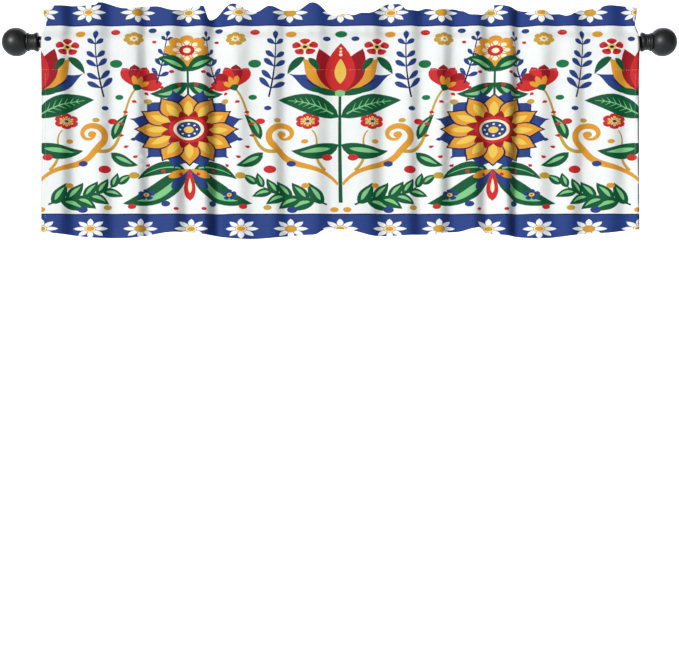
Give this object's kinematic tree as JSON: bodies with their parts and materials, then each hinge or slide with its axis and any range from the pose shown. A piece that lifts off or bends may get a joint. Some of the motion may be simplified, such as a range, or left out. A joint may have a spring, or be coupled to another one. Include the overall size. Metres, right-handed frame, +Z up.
{
  "type": "window valance on curtain rod",
  "caption": "Printed rod-pocket window valance with a standing header, gathered in soft uneven folds on a round black curtain rod with turned ball finials.",
  "frame": {"origin": "on the rod's axis at mid-length, where a rod of this kind is carried by its wall brackets", "axes": "+X along the rod to the right as seen from the room, +Y towards the wall, +Z up; the printed face of the cloth looks along -Y"},
  "size_m": [1.3502, 0.0593, 0.4738],
  "materials": {
    "valance_cloth": "smooth printed polyester, white ground with a colourful floral print and blue borders",
    "rod_metal": "satin black powder coat",
    "finial_metal": "satin black enamel, lightly rubbed on its edges"
  },
  "bodies": {
    "root": {"valance": "valance_cloth", "rod": "rod_metal", "finial_left": "finial_metal", "finial_right": "finial_metal"}
  },
  "joints": []
}
